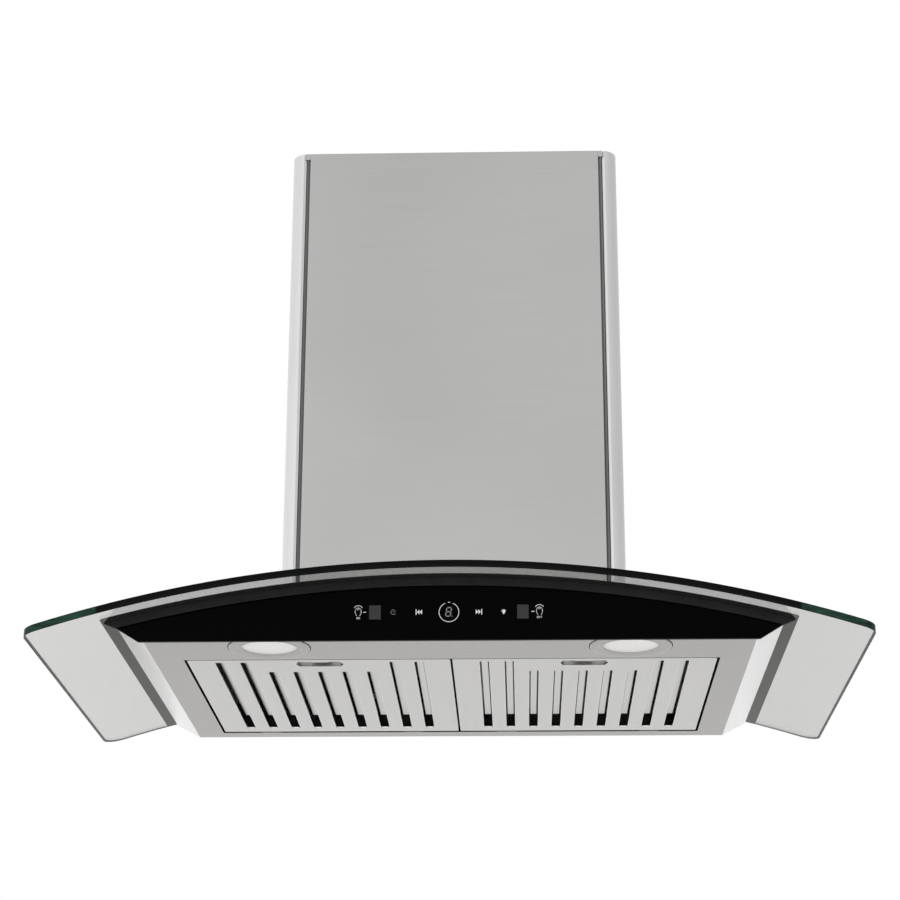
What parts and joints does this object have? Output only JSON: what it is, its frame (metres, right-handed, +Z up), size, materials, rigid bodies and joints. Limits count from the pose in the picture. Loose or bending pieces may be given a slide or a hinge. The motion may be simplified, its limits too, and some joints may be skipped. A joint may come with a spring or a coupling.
{
  "type": "curved glass chimney range hood",
  "caption": "Wall-mounted range hood with an arched clear glass canopy, slotted baffle filters, a black glass touch panel and a tall steel chimney cover.",
  "frame": {"origin": "middle of the hanging line on the back plate of the blower box, 360 mm above the flat underside of the body", "axes": "+X to the right as seen from the room, +Y to the wall, +Z up"},
  "size_m": [0.9, 0.52, 0.6716],
  "materials": {
    "brushed_steel": "brushed stainless sheet",
    "bright_steel": "bright stainless",
    "zinc_steel": "zinc coated sheet",
    "clear_glass": "clear tempered glass",
    "black_glass": "glossy black printed glass",
    "black_rubber": "matt",
    "black_plastic": "moulded, matt",
    "grey_plastic": "moulded, matt",
    "white_plastic": "moulded, satin",
    "frosted_plastic": "frosted diffuser",
    "circuit_board": "solder mask",
    "cast_aluminium": "die cast"
  },
  "bodies": {
    "hood": {"canopy_glass": "clear_glass", "top_plate": "zinc_steel", "glass_gasket": "black_rubber", "clamp_bolt_1": "bright_steel", "clamp_bolt_2": "bright_steel", "clamp_bolt_3": "bright_steel", "clamp_bolt_4": "bright_steel", "body_shell": "brushed_steel", "front_panel": "black_glass", "panel_seal": "black_rubber", "control_housing": "black_plastic", "touch_board": "circuit_board", "display_module": "white_plastic", "gesture_sensor_right": "black_plastic", "gesture_sensor_left": "black_plastic", "lamp_trim_right": "bright_steel", "lamp_trim_left": "bright_steel", "lamp_lens_right": "frosted_plastic", "lamp_lens_left": "frosted_plastic", "lamp_housing_right": "cast_aluminium", "lamp_housing_left": "cast_aluminium", "blower_box": "zinc_steel", "cable_gland": "black_plastic", "scroll_right": "grey_plastic", "scroll_left": "grey_plastic", "inlet_ring_right": "grey_plastic", "inlet_ring_left": "grey_plastic", "motor": "cast_aluminium", "motor_mount": "zinc_steel", "power_box": "white_plastic", "power_board": "circuit_board", "power_box_lid": "white_plastic", "run_capacitor": "white_plastic", "capacitor_clip": "zinc_steel", "outlet_collar": "black_plastic", "damper_pin": "bright_steel", "chimney_front": "brushed_steel", "chimney_side_right": "bright_steel", "chimney_side_left": "bright_steel", "chimney_bracket_right": "zinc_steel", "chimney_bracket_left": "zinc_steel", "chimney_screw_right": "bright_steel", "chimney_screw_left": "bright_steel"},
    "right_filter": {"filter_face_right": "bright_steel", "filter_baffles_right": "bright_steel", "latch_spring_right": "brushed_steel"},
    "left_filter": {"filter_face_left": "bright_steel", "filter_baffles_left": "bright_steel", "latch_spring_left": "brushed_steel"},
    "right_latch": {"filter_latch_right": "brushed_steel"},
    "left_latch": {"filter_latch_left": "brushed_steel"},
    "fan": {"impeller": "zinc_steel", "motor_shaft": "bright_steel"},
    "right_flap": {"damper_flap_right": "grey_plastic"},
    "left_flap": {"damper_flap_left": "grey_plastic"},
    "upper_cover": {"chimney_upper": "brushed_steel"}
  },
  "joints": [
    {"name": "right_filter_tilt", "type": "hinge", "parent": "hood", "child": "right_filter", "pos_m": [0.1481, -0.023, -0.3585], "axis": [1, 0, 0], "range_deg": [0, 60]},
    {"name": "left_filter_tilt", "type": "hinge", "parent": "hood", "child": "left_filter", "pos_m": [-0.1481, -0.023, -0.3585], "axis": [1, 0, 0], "range_deg": [0, 60]},
    {"name": "right_latch_slide", "type": "slide", "parent": "right_filter", "child": "right_latch", "axis": [0, 1, 0], "range_m": [0, 0.005], "stiffness_N_per_m": 300, "springref_m": -0.002, "deforming": ["latch_spring_right"]},
    {"name": "left_latch_slide", "type": "slide", "parent": "left_filter", "child": "left_latch", "axis": [0, 1, 0], "range_m": [0, 0.005], "stiffness_N_per_m": 300, "springref_m": -0.002, "deforming": ["latch_spring_left"]},
    {"name": "fan_spin", "type": "hinge", "parent": "hood", "child": "fan", "pos_m": [0, -0.128, -0.125], "axis": [1, 0, 0], "continuous": true},
    {"name": "right_flap_lift", "type": "hinge", "parent": "hood", "child": "right_flap", "pos_m": [0, -0.182, 0.0653], "axis": [0, -1, 0], "range_deg": [0, 75]},
    {"name": "left_flap_lift", "type": "hinge", "parent": "hood", "child": "left_flap", "pos_m": [0, -0.182, 0.0653], "axis": [0, 1, 0], "range_deg": [0, 75]},
    {"name": "upper_cover_slide", "type": "slide", "parent": "hood", "child": "upper_cover", "axis": [0, 0, 1], "range_m": [0, 0.35]}
  ]
}
